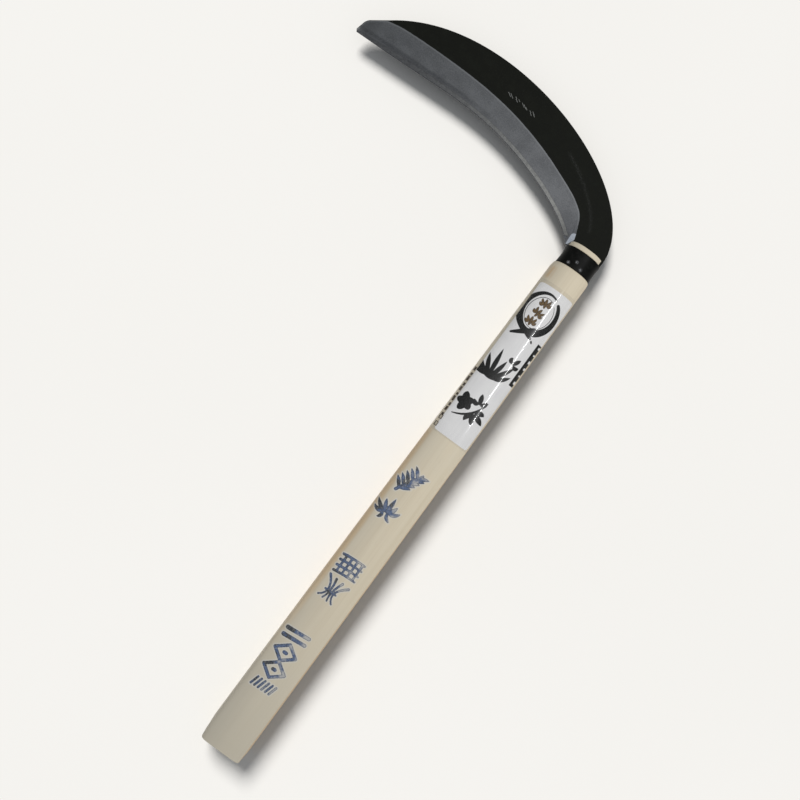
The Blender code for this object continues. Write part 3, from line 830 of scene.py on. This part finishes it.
def scale_color(blade, patches, grit):
    """Black scale with grey specks, lighter along the ridge as worn scale and painted highlight, and the
    stamp's bright floors.
    """
    ridge_wear_and_highlight = blade.times(blade.attribute("ridge_wear_and_highlight"), blade.fade(grit, 0.45, 0.65))
    stamp = blade.times(blade.attribute("stamp"), blade.fade(grit, 0.25, 0.5, 0.35, 1.0))
    return blade.layers(
        blade.tones(patches, 0.40, 0.72, (0.0075, 0.0080, 0.0060), (0.0100, 0.0108, 0.0080)),
        (blade.fade(grit, 0.56, 0.70, 0.0, 0.7), (0.021, 0.022, 0.018)),
        # Lighter along the neck ridge: worn scale, and a painted highlight.
        (ridge_wear_and_highlight, (0.036, 0.037, 0.034)),
        (stamp, (0.22, 0.22, 0.21)),
    )


def bevel_color(blade, grit):
    """Sandy ground steel, with a light rim, a dark band over the edge steel and heel facets painted
    bright as reflections.
    """
    along = blade.attribute("along")
    sand = blade.noise(0.4 * MM, 1.6, roughness=0.65)
    tone = blade.plus(blade.times(sand, 0.7), blade.noise(9 * MM, detail=2.0), 0.3)
    dark, light = blade.mix(along, *BEVEL_DARK), blade.mix(along, *BEVEL_LIGHT)
    rim = blade.away(blade.attribute("ground"), 0.5 * MM)
    band = blade.times(
        blade.fade(blade.away(blade.attribute("from_edge"), 4.2 * MM), 2.0 * MM, 0.4 * MM),
        blade.fade(along, 0.60, 0.35),
        blade.fade(grit, 0.35, 0.60, 0.25, 0.8),
    )
    point = blade.times(blade.fade(along, 0.10, 0.02), blade.fade(grit, 0.35, 0.60, 0.1, 0.7))
    facet_glint = blade.tones(grit, 0.3, 0.7, (0.32, 0.36, 0.41), (0.52, 0.54, 0.57))
    return blade.layers(
        blade.tones(tone, 0.38, 0.62, dark, light),
        (blade.fade(rim, 0.6 * MM, 0.1 * MM, 0.0, 0.35), (0.24, 0.245, 0.25)),
        (band, (0.050, 0.052, 0.055)),
        (point, (0.055, 0.056, 0.055)),
        (blade.fade(blade.attribute("scratch"), 0.25 * MM, 0.0, 0.0, 0.5), (0.07, 0.075, 0.08)),
        # Painted reflection: the heel facets are coloured bright and bluish as if catching the light.
        (blade.fade(blade.attribute("facet_glint"), 0.25 * MM, -0.25 * MM), facet_glint),
    )


def edge_material():
    """Speckled hard steel, lighter towards the heel, with painted shade as a narrow dark line at the
    very edge.
    """
    steel = Shader("ground_edge_steel")
    cloud = steel.noise(2.5 * MM, roughness=0.6)
    speckle = steel.noise(0.35 * MM, 2, roughness=0.7)
    tone = steel.plus(steel.times(cloud, 0.35), speckle, 0.65)
    heelward = steel.fade(steel.attribute("along"), 0.15, 0.95)
    dark = steel.mix(heelward, (0.058, 0.060, 0.062), (0.140, 0.140, 0.136))
    light = steel.mix(heelward, (0.095, 0.097, 0.100), (0.235, 0.235, 0.222))
    # Painted shade: the last fraction of a millimetre darkens as if a steeper micro-bevel reflected less
    # light.
    line = steel.fade(steel.attribute("edge"), 0.45 * MM, 0.2 * MM, 0.0, 0.85)
    steel.set(
        Base_Color=steel.mix(line, steel.tones(tone, 0.38, 0.62, dark, light), (0.05, 0.05, 0.055)),
        Metallic=0.55,
        Roughness=steel.fade(tone, 0.3, 0.7, 0.42, 0.52),
        Specular_IOR_Level=0.2,
    )
    steel.bump(speckle, 0.01 * MM)
    return steel.material


def nail_material():
    steel = Shader("nail_steel")
    cloud = steel.noise(0.8 * MM)
    color = steel.tones(cloud, 0.35, 0.7, (0.36, 0.36, 0.37), (0.24, 0.22, 0.20))
    steel.set(Base_Color=color, Metallic=1.0, Roughness=steel.fade(cloud, 0.3, 0.7, 0.32, 0.5))
    steel.bump(cloud, 0.02 * MM)
    return steel.material


def print_material():
    """The label's white backing with black and golden-brown print."""
    paper = Shader("printed_label")
    streaks = paper.noise(1.2 * MM, 30)
    cloud = paper.noise(9 * MM, detail=2.0)
    tone = paper.plus(paper.times(streaks, 0.5), cloud, 0.5)
    gold = paper.attribute("gold")
    outline = paper.fade(paper.away(gold, 0.0), 0.30 * MM, 0.08 * MM, 0.0, 0.85)
    grain = paper.noise(0.6 * MM, detail=2.0)
    gold_color = paper.tones(grain, 0.4, 0.6, (0.17, 0.105, 0.045), (0.10, 0.065, 0.030))
    dry = paper.noise(0.45 * MM, 3, detail=2.0)
    black_color = paper.tones(dry, 0.5, 0.75, (0.0050, 0.0052, 0.0046), (0.0110, 0.0112, 0.0100))
    color = paper.layers(
        paper.tones(tone, 0.35, 0.65, (0.750, 0.735, 0.720), (0.800, 0.785, 0.765)),
        (paper.fade(gold, 0.10 * MM, -0.06 * MM), paper.mix(outline, gold_color, GOLD_OUTLINE)),
        (paper.fade(paper.attribute("black"), 0.07 * MM, -0.07 * MM), black_color),
    )
    roughness = paper.fade(cloud, 0.3, 0.7, 0.38, 0.5)
    paper.set(Base_Color=color, Roughness=roughness, Specular_IOR_Level=0.1)
    paper.set(Coat_Weight=0.12, Coat_Roughness=0.05)
    paper.bump(streaks, 0.01 * MM)
    return paper.material


def side_print_material():
    ink = Shader("side_print_ink")
    cloud = ink.noise(0.8 * MM, detail=2.0)
    color = ink.tones(cloud, 0.35, 0.65, (0.05, 0.035, 0.025), (0.09, 0.065, 0.045))
    ink.set(Base_Color=color, Roughness=ink.fade(cloud, 0.3, 0.7, 0.4, 0.55), Specular_IOR_Level=0.1)
    return ink.material


def film_material():
    film = Shader("clear_film")
    ripple = film.noise(7 * MM, 3, detail=2.0)
    tint = film.tones(ripple, 0.3, 0.7, (0.18, 0.18, 0.175), (0.22, 0.22, 0.215))
    roughness = film.fade(ripple, 0.3, 0.7, 0.13, 0.19)
    film.set(Base_Color=tint, Roughness=roughness, Specular_IOR_Level=0.55, Alpha=0.035)
    film.bump(ripple, 0.02 * MM)
    return film.material


def floor_material():
    floor = Shader("studio_floor")
    cloud = floor.noise(0.4, detail=2.0)
    color = floor.tones(cloud, 0.3, 0.7, (0.800, 0.777, 0.734), (0.810, 0.787, 0.744))
    floor.set(Base_Color=color, Roughness=0.9, Specular_IOR_Level=0.0)
    return floor.material


# Handle and ferrule


def handle_profile():
    """Along the handle: (place, how far the butt's arris is sanded back there)."""
    places = [0.0]
    for end, count in HANDLE_ROWS:
        places += list(np.linspace(places[-1], end, count + 1)[1:])
    return [(y, BUTT_ARRIS * rounded(1 - min(y / BUTT_ARRIS, 1.0))) for y in places]


def head_profile():
    """Along the handle's head: the ferrule's seat, then the lip that stands out past the ferrule."""
    seat = FERRULE_THICKNESS + CLEARANCE
    lip = FERRULE_THICKNESS - CLEARANCE / 2
    lip_start = FERRULE_END + CLEARANCE
    profile = [(y, seat) for y in np.linspace(SHOULDER_END, lip_start, PLAIN_ROWS)]
    profile.append((lip_start, lip))
    for turn in np.linspace(0, TURN / 4, RIM_ROWS):
        y = HANDLE_LENGTH - LIP_RIM + LIP_RIM * math.sin(turn)
        profile.append((y, lip + LIP_RIM * (1 - math.cos(turn))))
    return profile


def make_handle(wood):
    rings = [section(y, handle_size(y, -depth), handle_centre(y)) for y, depth in handle_profile()]
    head, foot = handle_size(SHOULDER_START), ferrule_size(SHOULDER_END)
    for i in range(1, SHOULDER_STATIONS + 1):
        share = i / SHOULDER_STATIONS
        size = tuple(between(a, b, rounded(share)) for a, b in zip(head, foot))
        y = between(SHOULDER_START, SHOULDER_END, share)
        rings.append(section(y, size, between(LEAN, FERRULE_CENTRE_X, rounded(share))))
    rings += [section(y, ferrule_size(y, depth), FERRULE_CENTRE_X) for y, depth in head_profile()]
    handle = build_mesh("handle_wood", rings, wood)
    reach = 2 * BUTT_HALF_WIDTH
    head_cuts = (  # left, right, start and half height: the slot, its mouth and the lip's open side
        (-reach, SLOT_CLOSED_SIDE, SLOT_END, SLOT_HALF_HEIGHT),
        (-reach, reach, FERRULE_END, SLOT_HALF_HEIGHT),
        (LIP_RIGHT_END, reach, FERRULE_END, reach),
    )
    cutters = [
        box_cutter((left, y, -half), (right, HANDLE_LENGTH + reach, half))
        for left, right, y, half in head_cuts
    ]
    cut(handle, [*cutters, drill(*NAIL_HOLE), drill(*NAIL_RECESS)])
    store(handle, "ink", mark_distance(points_of(handle), INK_MARKS))
    finish_piece(handle, "wood", "handle")


def wall_profile(start, end, thickness, rows, rim):
    """All round a tube's wall, with rounded rims: along the outside, then back along the inside."""
    turns = np.linspace(0, TURN / 4, RIM_ROWS - 1)
    profile = [(start + rim - rim * math.sin(a), rim - rim * math.cos(a)) for a in turns[::-1]]
    profile += [(y, 0.0) for y in np.linspace(start + rim, end - rim, rows)[1:-1]]
    profile += [(end - rim + rim * math.sin(a), rim - rim * math.cos(a)) for a in turns]
    profile += [(y, thickness) for y in np.linspace(end, start, PLAIN_ROWS)]
    return profile


def make_ferrule(black):
    profile = wall_profile(FERRULE_START, FERRULE_END, FERRULE_THICKNESS, FERRULE_ROWS, FERRULE_RIM)
    rings = [section(y, ferrule_size(y, depth), FERRULE_CENTRE_X) for y, depth in profile]
    ferrule = build_mesh("ferrule_sleeve", rings, black, tube=True)
    points = points_of(ferrule)
    dents = np.zeros(len(points))
    for x, y in CRIMPS:
        away = np.hypot(points[:, 0] - x, points[:, 1] - y)
        dents = np.maximum(dents, ease(1 - away / CRIMP_RADIUS))
    dents *= points[:, 2] > 0
    points[:, 2] -= CRIMP_DEPTH * dents
    ferrule.data.vertices.foreach_set("co", points.astype(np.float32).ravel())
    ferrule.data.update()
    store(ferrule, "dent", dents)
    finish_piece(ferrule, "black_steel", "ferrule")


# Blade and tang


class Sections:
    """The blade's sections at these shares of its length: one row of each array for each section."""

    def __init__(self, shares):
        self.shares = np.array(shares)
        spine = along_curves(SPINE, self.shares)
        self.edge = along_curves(CUTTING_EDGE, self.shares)
        self.width = np.linalg.norm(spine - self.edge, axis=1)
        self.across = (spine - self.edge) / self.width[:, None]
        thickness = between(TIP_THICKNESS, HEEL_THICKNESS, self.shares**THICKENING)
        self.front = BLADE_BACK + thickness
        self.chamfer = np.minimum(SPINE_CHAMFER, SPINE_CHAMFER_SHARE * self.width)
        bevel = read_table(BEVEL_WIDTHS, self.shares) * MM
        self.bevel = np.minimum(bevel, self.width - BEVEL_STOP * self.chamfer)
        steel = read_table(STEEL_WIDTHS, self.shares) * MM
        self.steel = np.minimum(steel, STEEL_SHARE * self.width)
        self.scarf = np.minimum(STEEL_SCARF, STEEL_SCARF_SHARE * self.width)
        blunting = ease((self.shares - STEEL_END) / (1 - STEEL_END))
        self.edge_thickness = between(EDGE_THICKNESS, HEEL_EDGE_THICKNESS, blunting)

    def bevel_height(self, width):
        return between(BLADE_BACK + self.edge_thickness, self.front, width / self.bevel)

    def rings(self, *profile):
        """Points in space from (distance from the edge, height) pairs, each an array or a number."""
        sides = []
        for width, height in profile:
            flat = self.edge + self.across * np.broadcast_to(width, self.width.shape)[:, None]
            sides.append(np.column_stack([flat, np.broadcast_to(height, self.width.shape)]))
        return np.stack(sides, axis=1)

    def body_rings(self):
        shows = self.shares <= STEEL_END
        back = np.where(shows, self.steel + WELD_GAP, 0.0)
        foot = np.where(shows, back + self.scarf, 0.0)
        chamfer_start = self.width - self.chamfer
        return self.rings(
            (foot, BLADE_BACK),
            (chamfer_start, BLADE_BACK),
            (self.width, BLADE_BACK + self.chamfer),
            (self.width, self.front - self.chamfer),
            (chamfer_start, self.front),
            (self.bevel, self.front),
            (back, self.bevel_height(back)),
        )

    def steel_rings(self):
        return self.rings(
            (0.0, BLADE_BACK),
            (self.steel + self.scarf, BLADE_BACK),
            (self.steel, self.bevel_height(self.steel)),
            (0.0, BLADE_BACK + EDGE_THICKNESS),
        )

    def places_of(self, points):
        """For each point, the nearest section's number and the distance from the cutting edge."""
        numbers = np.zeros(len(points), int)
        widths = np.zeros(len(points))
        for start in range(0, len(points), POINTS_AT_ONCE):
            block = slice(start, start + POINTS_AT_ONCE)
            offset = points[block, None, :2] - self.edge[None]
            width = (offset * self.across).sum(-1)
            away = np.abs(offset[..., 0] * self.across[:, 1] - offset[..., 1] * self.across[:, 0])
            outside = (width < -MM) | (width > self.width + MM)
            nearest = np.argmin(away + outside, axis=1)  # those outside count as a metre further
            numbers[block] = nearest
            widths[block] = width[np.arange(len(nearest)), nearest]
        return numbers, widths


def split_sides(rings, steps):
    """Adds points along each side of the rings: steps says how many parts each side has."""
    parts = []
    for side, count in enumerate(steps):
        start, end = rings[:, side], rings[:, (side + 1) % rings.shape[1]]
        shares = (np.arange(count) / count)[None, :, None]
        parts.append(between(start[:, None], end[:, None], shares))
    return np.concatenate(parts, axis=1)


def tang_ring(sides, y, z, tilt):
    """A section of the tang, whose thickness direction leans over by tilt from +Z towards -Y."""
    half, chamfer = HEEL_THICKNESS / 2, SPINE_CHAMFER
    left, right = sides
    profile = (
        (left, -half),
        (right - chamfer, -half),
        (right, -half + chamfer),
        (right, half - chamfer),
        (right - chamfer, half),
        (left + chamfer, half),
        (left, half - chamfer),
    )
    sine, cosine = math.sin(tilt), math.cos(tilt)
    return [(x, y - height * sine, z + height * cosine) for x, height in profile]


def tang_rings():
    rings = [tang_ring(TANG_SIDES_AT_TOP, TANG_TOP, 0.0, 0.0)]
    for tilt in np.linspace(0, TURN / 4, HOOK_STEPS + 1):
        y = HOOK_START - HOOK_RADIUS * math.sin(tilt)
        rings.append(tang_ring(TANG_SIDES_AT_HOOK, y, HOOK_RADIUS * (math.cos(tilt) - 1), tilt))
    end_y = HOOK_START - HOOK_RADIUS
    rings.append(tang_ring(TANG_SIDES_AT_HOOK, end_y, -HOOK_RADIUS - HOOK_DROP, TURN / 4))
    return np.array(rings)


def ridge_at(points):
    """The forged ridge across the neck: 1 on its line, and 0 away from it."""
    away = stroke_distance(points, [NECK_RIDGE], samples=60)
    return np.exp(-((away / NECK_RIDGE_WIDTH) ** 2))


def forging_waves(points):
    """Slight unevenness left by the hammer."""
    x, y = points[:, 0] / MM, points[:, 1] / MM
    return HAMMER_DEPTH * sum(np.sin(x / a + y / b + shift) for a, b, shift in HAMMER_WAVES)


def stamp_cutters(sections):
    """Shallow chisel strokes in four groups on the blade's black front."""
    cutters = []
    for (group_x, group_y), ticks in zip(STAMP_PLACES, STAMP_TICKS):
        centre = np.array([[group_x * MM, group_y * MM, 0.0]])
        floor = sections.front[sections.places_of(centre)[0][0]] - STAMP_DEPTH
        for x, y, length in ticks:
            place = ((group_x + x) * MM, (group_y + y) * MM, floor + MM / 2)
            size = (length * MM, STAMP_WIDTH, MM)
            turn = (0, 0, STAMP_TURN)
            bpy.ops.mesh.primitive_cube_add(size=1.0, location=place, rotation=turn, scale=size)
            cutters.append(bpy.context.object)
    return cutters


def stamp_floor(points, front):
    """1 on the floors of the stamped ticks, and 0 elsewhere."""
    depth = (front - points[:, 2]) / STAMP_DEPTH
    x, y = points[:, 0] / MM, points[:, 1] / MM
    away = [np.hypot(x - group_x, y - group_y) for group_x, group_y in STAMP_PLACES]
    near = np.minimum.reduce(away) < STAMP_REACH
    return ((depth > STAMP_FLOOR[0]) & (depth < STAMP_FLOOR[1]) & near).astype(float)


def make_blade(forged):
    shares = np.linspace(TIP_START, STEEL_END, BLADE_STATIONS + 1)
    heel_shares = np.linspace(STEEL_END, 1.0, HEEL_STATIONS + 1)[1:]
    sections = Sections(np.concatenate([shares, heel_shares]))
    rings = np.concatenate([sections.body_rings(), tang_rings()])
    rings = split_sides(rings, SECTION_STEPS)
    first = sum(SECTION_STEPS[:FRONT_SIDE])
    front = rings[: len(sections.shares), first + 1 : first + SECTION_STEPS[FRONT_SIDE]]
    flat = front.reshape(-1, 3)
    lift = NECK_RIDGE_HEIGHT * ridge_at(flat) + forging_waves(flat)
    fading = np.sin(np.linspace(0, TURN / 2, front.shape[1] + 2))[1:-1] ** 0.5
    front[..., 2] += lift.reshape(front.shape[:2]) * fading
    blade = build_mesh("blade", rings, forged)
    x, y, radius, _ = NAIL_HOLE
    cut(blade, [drill(x, y, radius, -2 * HEEL_THICKNESS), *stamp_cutters(sections)])
    points = points_of(blade)
    numbers, widths = sections.places_of(points)
    on_front = points[:, 2] > BLADE_BACK + BACK_SKIN
    in_tang = points[:, 1] < TANG_TOP + TANG_SKIN
    whetted = BACK_BEVEL * (1 - sections.shares[numbers] ** BACK_BEVEL_POWER)
    reach = np.where(on_front, sections.bevel[numbers], whetted)
    store(blade, "ground", np.where(in_tang, -FAR, reach - widths))
    store(blade, "along", sections.shares[numbers])
    store(blade, "from_edge", np.where(on_front, widths, FAR))
    store(blade, "ridge_wear_and_highlight", ridge_at(points) * (points[:, 2] > 0))
    store(blade, "stamp", stamp_floor(points, sections.front[numbers]))
    for name, strokes in (("facet_glint", HEEL_GLINT_FACETS), ("scratch", HEEL_SCRATCHES)):
        store(blade, name, np.where(on_front, stroke_distance(points, strokes), FAR))
    finish_piece(blade, "blade_iron", "blade_body")


def make_edge(ground):
    sections = Sections(np.linspace(TIP_START, STEEL_END - HEEL_GAP, BLADE_STATIONS + 1))
    edge = build_mesh("edge_strip", split_sides(sections.steel_rings(), STEEL_STEPS), ground)
    numbers, widths = sections.places_of(points_of(edge))
    store(edge, "edge", widths)
    store(edge, "along", sections.shares[numbers])
    finish_piece(edge, "edge_steel", "edge_steel")


def finish_nail(steel):
    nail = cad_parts["tang_nail"]
    nail.data.materials.clear()
    nail.data.materials.append(steel)


# Label


def panel_sides(y):
    """The panel's two sides here: they curve in at its four corners."""
    share = min((y - PANEL_START) / PANEL_CORNER, (PANEL_END - y) / PANEL_CORNER, 1.0)
    curve = PANEL_CORNER * rounded(1 - share)
    return PANEL_SIDES[0] + curve, PANEL_SIDES[1] - curve


def make_panel(paper):
    places = np.linspace(PANEL_START, PANEL_END, PANEL_ROWS)
    panel = front_sheet("label_print", places, panel_sides, PANEL_LIFTS, PANEL_COLUMNS, paper)
    points = points_of(panel)
    store(panel, "black", np.minimum(mark_distance(points, BLACK_MARKS), side_box_distance(points)))
    store(panel, "gold", mark_distance(points, GOLD_MARKS))
    finish_piece(panel, "label_print", "label_panel")


def side_box_distance(points):
    """The distance to the black box on the label's right side, less its light gaps."""
    x, y = points[:, 0] / MM, points[:, 1] / MM
    (left, bottom), (right, top) = SIDE_BOX
    box = np.maximum.reduce([left - x, x - right, bottom - y, y - top])
    for i in range(SIDE_BOX_GAPS):
        middle = between(bottom, top, (i + SIDE_BOX_GAP_START) / SIDE_BOX_GAPS)
        half = SIDE_BOX_GAP_HALVES[i % len(SIDE_BOX_GAP_HALVES)]
        gap = np.maximum(np.abs(y - middle) - half, left + SIDE_BOX_SOLID - x)
        box = np.maximum(box, -gap)
    return np.where(points[:, 2] > 0, box * MM, FAR)


def side_dashes():
    """Dashes down the label's left side and two outlined squares, as (left, right, bottom, top)."""
    corners = []
    top = DASH_TOP
    for i in range(DASH_COUNT):
        length = DASH_LENGTHS[i % len(DASH_LENGTHS)]
        left = DASH_LEFT + DASH_SHIFT * (i % 2)
        corners.append((left, left + DASH_WIDTH, top - length, top))
        top -= length + DASH_GAPS[i % len(DASH_GAPS)]
    width, height = SQUARE_SIZE
    for top in SQUARE_TOPS:
        for shift in (0.0, height - SQUARE_LINE):
            corners.append((DASH_LEFT, DASH_LEFT + width, top - shift - SQUARE_LINE, top - shift))
        for left in (DASH_LEFT, DASH_LEFT + width - SQUARE_LINE):
            corners.append((left, left + SQUARE_LINE, top - height + SQUARE_LINE, top - SQUARE_LINE))
    return corners


def make_side_print(ink):
    """The dashes and squares are printed inside the film, beside the white panel."""
    dashes = []
    rows, columns = DASH_MESH
    for left, right, bottom, top in side_dashes():
        places = np.linspace(bottom, top, rows) * MM
        sides = (left * MM, right * MM)
        dashes.append(front_sheet("side_print", places, lambda y: sides, INK_LIFTS, columns, ink))
    bpy.ops.object.select_all(action="DESELECT")
    for dash in dashes:
        dash.select_set(True)
    bpy.context.view_layer.objects.active = dashes[0]
    bpy.ops.object.join()
    finish_piece(dashes[0], "label_print")


def make_film(clear):
    profile = wall_profile(FILM_START, FILM_END, FILM_THICKNESS, FILM_ROWS, FILM_THICKNESS / 3)
    lift = FILM_LIFT + FILM_THICKNESS
    rings = [section(y, handle_size(y, lift - depth), handle_centre(y)) for y, depth in profile]
    film = build_mesh("film_sleeve", rings, clear, tube=True)
    finish_piece(film, "label_film", "label_film")


# Floor, light and camera


def make_floor(material):
    lowest = cad_bounds[0].z
    bpy.ops.mesh.primitive_plane_add(size=FLOOR_SIDE, location=(0, HANDLE_LENGTH / 2, lowest))
    floor = bpy.context.object
    floor.name = "studio_floor"
    floor.data.materials.append(material)
    floor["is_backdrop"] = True
    return floor


def link_new(name, data):
    """A new object in the scene, for a lamp or a camera."""
    obj = bpy.data.objects.new(name, data)
    bpy.context.scene.collection.objects.link(obj)
    return obj


def make_light(name, kind, place, rotation, receivers, **settings):
    """A light that reaches only these objects. Everything still casts its shadow on them."""
    lamp = bpy.data.lights.new(name, kind)
    for setting, value in settings.items():
        setattr(lamp, setting, value)
    light = link_new(name, lamp)
    light.location = place
    light.rotation_euler = rotation
    group = bpy.data.collections.new(name + "_receivers")
    for obj in receivers:
        group.objects.link(obj)
    light.light_linking.receiver_collection = group


def make_lights(floor):
    """The key light throws the soft shadow on the floor, and the others light the sickle itself."""
    world = bpy.data.worlds.new("soft_room")
    world.use_nodes = True
    background = world.node_tree.nodes["Background"]
    background.inputs["Color"].default_value = WORLD_COLOR
    background.inputs["Strength"].default_value = WORLD_STRENGTH
    bpy.context.scene.world = world
    sun = {"energy": KEY_STRENGTH, "angle": KEY_ANGLE}
    make_light("key", "SUN", KEY_PLACE, KEY_ROTATION, [floor], **sun)
    sun = {"energy": FILL_STRENGTH, "angle": FILL_ANGLE}
    make_light("fill", "SUN", FILL_PLACE, (0, 0, 0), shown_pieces(), **sun)
    width, length = STRIP_SIZE
    area = {"energy": STRIP_POWER, "shape": "RECTANGLE", "size": width, "size_y": length}
    make_light("strip", "AREA", STRIP_PLACE, STRIP_ROTATION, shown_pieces(), **area)


def make_camera():
    lens = bpy.data.cameras.new("camera")
    lens.sensor_width = CAMERA_SENSOR
    lens.lens = CAMERA_LENS
    camera = link_new("camera", lens)
    camera.location = CAMERA_PLACE
    camera.rotation_euler = (0.0, 0.0, CAMERA_TURN)
    bpy.context.scene.camera = camera


make_handle(wood_material())
make_ferrule(ferrule_material())
make_blade(blade_material())
make_edge(edge_material())
make_panel(print_material())
make_side_print(side_print_material())
make_film(film_material())
finish_nail(nail_material())
make_lights(make_floor(floor_material()))
make_camera()
bpy.context.scene.view_settings.view_transform = "Standard"
